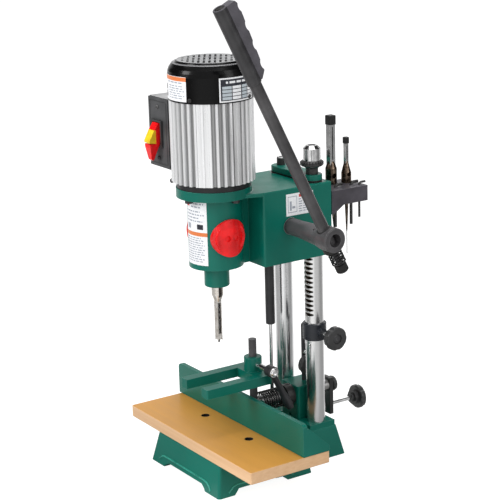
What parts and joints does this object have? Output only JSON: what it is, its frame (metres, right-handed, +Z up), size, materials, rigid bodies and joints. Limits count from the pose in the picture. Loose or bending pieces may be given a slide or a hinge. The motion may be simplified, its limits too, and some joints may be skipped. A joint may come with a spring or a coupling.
{
  "type": "benchtop hollow chisel mortiser",
  "caption": "Benchtop hollow chisel mortiser: motor head on two columns, rack and pinion lever feed, fence with hold-down fork, chisel and auger, switch and tool holder.",
  "frame": {"origin": "on the bench plane under the chisel and motor axis, the centre of the base's four bench-bolt holes", "axes": "+Z up along the chisel axis, +X to the operator's right (the lever side), +Y to the back of the machine"},
  "size_m": [0.373, 0.3765, 0.784],
  "materials": {
    "green_paint": "satin enamel",
    "board_wood": "sanded board",
    "blue_screw": "oxide black",
    "column_steel": "ground",
    "rack_steel": "milled, lightly oiled",
    "green_plate": "satin enamel on steel",
    "grip_rubber": "moulded",
    "bright_steel": "polished",
    "spring_steel": "black oxide",
    "plain_steel": "machined",
    "bronze": "sintered",
    "door_red": "moulded",
    "chrome_steel": "polished",
    "fan_plastic": "moulded",
    "black_iron": "black satin paint",
    "motor_aluminium": "die cast, bright",
    "stored_steel": "dark oxide",
    "copper": "enamelled wire",
    "black_sheet": "black satin",
    "black_plastic": "moulded",
    "grey_plastic": "moulded",
    "red_plastic": "moulded",
    "yellow_plastic": "moulded",
    "hub_iron": "dark machined",
    "lever_steel": "dark grey satin",
    "holder_sheet": "dark grey satin on folded sheet",
    "hex_steel": "black oxide"
  },
  "bodies": {
    "frame": {"base_casting": "green_paint", "table_board": "board_wood", "frame_bolts": "blue_screw", "left_column": "column_steel", "rack_column": "rack_steel", "tie_plate": "green_plate", "bump_pad": "grip_rubber", "spare_chuck": "bright_steel", "spare_chuck_sleeve": "spring_steel", "slide_block": "green_paint", "spring_washer": "stored_steel", "strut_rod": "chrome_steel", "stop_bar": "black_sheet"},
    "head": {"head_casting": "green_paint", "head_bolts": "plain_steel", "plain_bushes": "bronze", "gear_cover": "green_plate", "chisel": "bright_steel", "motor_lower_shield": "black_iron", "motor_shell": "motor_aluminium", "stator_core": "stored_steel", "stator_windings": "copper", "motor_bearings": "bright_steel", "motor_upper_shield": "black_iron", "fan_cover": "black_sheet", "fan_grille": "black_sheet", "cable_gland": "black_plastic", "switch_box": "black_sheet", "switch_plate": "grey_plastic", "switch_mechanism": "black_plastic", "strut_cylinder": "black_sheet", "tool_holder": "holder_sheet", "stored_chisels": "stored_steel", "hex_keys": "hex_steel"},
    "spindle": {"auger_bit": "plain_steel", "drill_chuck": "chrome_steel", "rotor": "plain_steel", "cooling_fan": "fan_plastic"},
    "right_door": {"right_chuck_door": "door_red"},
    "left_door": {"left_chuck_door": "door_red"},
    "paddle": {"stop_paddle": "red_plastic"},
    "key": {"safety_key": "yellow_plastic"},
    "pinion": {"pinion_shaft": "plain_steel", "lever_hub": "hub_iron", "lever_spring": "spring_steel"},
    "lever": {"lever_bar": "lever_steel", "lever_grip": "grip_rubber", "lever_tail_nut": "lever_steel"},
    "collar": {"stop_collar": "black_iron"},
    "collar_knob": {"stop_knob": "black_plastic"},
    "fence_unit": {"fence": "green_paint", "fence_bar": "plain_steel", "hold_down_post": "stored_steel", "rear_plate": "stored_steel", "fence_spring": "spring_steel"},
    "bar_clamp_knob": {"bar_knob": "black_plastic"},
    "guide": {"guide_knob": "black_plastic"},
    "hold_down": {"hold_down_fork": "green_paint"},
    "clamp": {"clamp_lever": "black_iron"},
    "stop_bar_clamp": {"stop_bar_knob": "black_plastic"}
  },
  "joints": [
    {"name": "head_slide", "type": "slide", "parent": "frame", "child": "head", "axis": [0, 0, 1], "range_m": [-0.085, 0], "stiffness_N_per_m": 1000, "springref_m": 0.31},
    {"name": "spindle_spin", "type": "hinge", "parent": "head", "child": "spindle", "pos_m": [0, 0, 0.4], "axis": [0, 0, 1], "continuous": true},
    {"name": "right_door_slide", "type": "slide", "parent": "head", "child": "right_door", "axis": [1, 0, 0], "range_m": [0, 0.04]},
    {"name": "left_door_slide", "type": "slide", "parent": "head", "child": "left_door", "axis": [-1, 0, 0], "range_m": [0, 0.04]},
    {"name": "stop_paddle_hinge", "type": "hinge", "parent": "head", "child": "paddle", "pos_m": [-0.125, -0.031, 0.562], "axis": [1, 0, 0], "range_deg": [-70, 0]},
    {"name": "safety_key_slide", "type": "slide", "parent": "paddle", "child": "key", "axis": [0, -1, 0], "range_m": [0, 0.018]},
    {"name": "pinion_turn", "type": "hinge", "parent": "head", "child": "pinion", "pos_m": [0.05, 0.1, 0.408], "axis": [1, 0, 0], "range_deg": [0, 110]},
    {"name": "lever_slide", "type": "slide", "parent": "pinion", "child": "lever", "axis": [0, -0.4478, 0.8941], "range_m": [0, 0.008], "stiffness_N_per_m": 1500, "deforming": ["lever_spring"]},
    {"name": "collar_slide", "type": "slide", "parent": "frame", "child": "collar", "axis": [0, 0, 1], "range_m": [-0.08, 0.02]},
    {"name": "collar_knob_turn", "type": "hinge", "parent": "collar", "child": "collar_knob", "pos_m": [0.07, 0.1584, 0.218], "axis": [1, 0, 0], "range_deg": [-180, 180]},
    {"name": "fence_slide", "type": "slide", "parent": "frame", "child": "fence_unit", "axis": [0, 1, 0], "range_m": [-0.02, 0.01], "deforming": ["fence_spring"]},
    {"name": "bar_knob_turn", "type": "hinge", "parent": "fence_unit", "child": "bar_clamp_knob", "pos_m": [0, 0.27, 0.098], "axis": [0, 1, 0], "range_deg": [-180, 180]},
    {"name": "guide_knob_turn", "type": "hinge", "parent": "fence_unit", "child": "guide", "pos_m": [0, 0.27, 0.062], "axis": [0, 1, 0], "range_deg": [-180, 180]},
    {"name": "hold_down_slide", "type": "slide", "parent": "fence_unit", "child": "hold_down", "axis": [0, 0, 1], "range_m": [-0.01, 0.025]},
    {"name": "clamp_lever_turn", "type": "hinge", "parent": "hold_down", "child": "clamp", "pos_m": [0.04, 0.064, 0.169], "axis": [1, 0, 0], "range_deg": [-10, 25]},
    {"name": "stop_bar_knob_turn", "type": "hinge", "parent": "frame", "child": "stop_bar_clamp", "pos_m": [0, 0.167, 0.1466], "axis": [1, 0, 0], "range_deg": [-180, 180]}
  ],
  "couplings": [
    {"joint": "pinion_turn", "follows": "head_slide", "rad_per_m": -22.222}
  ]
}
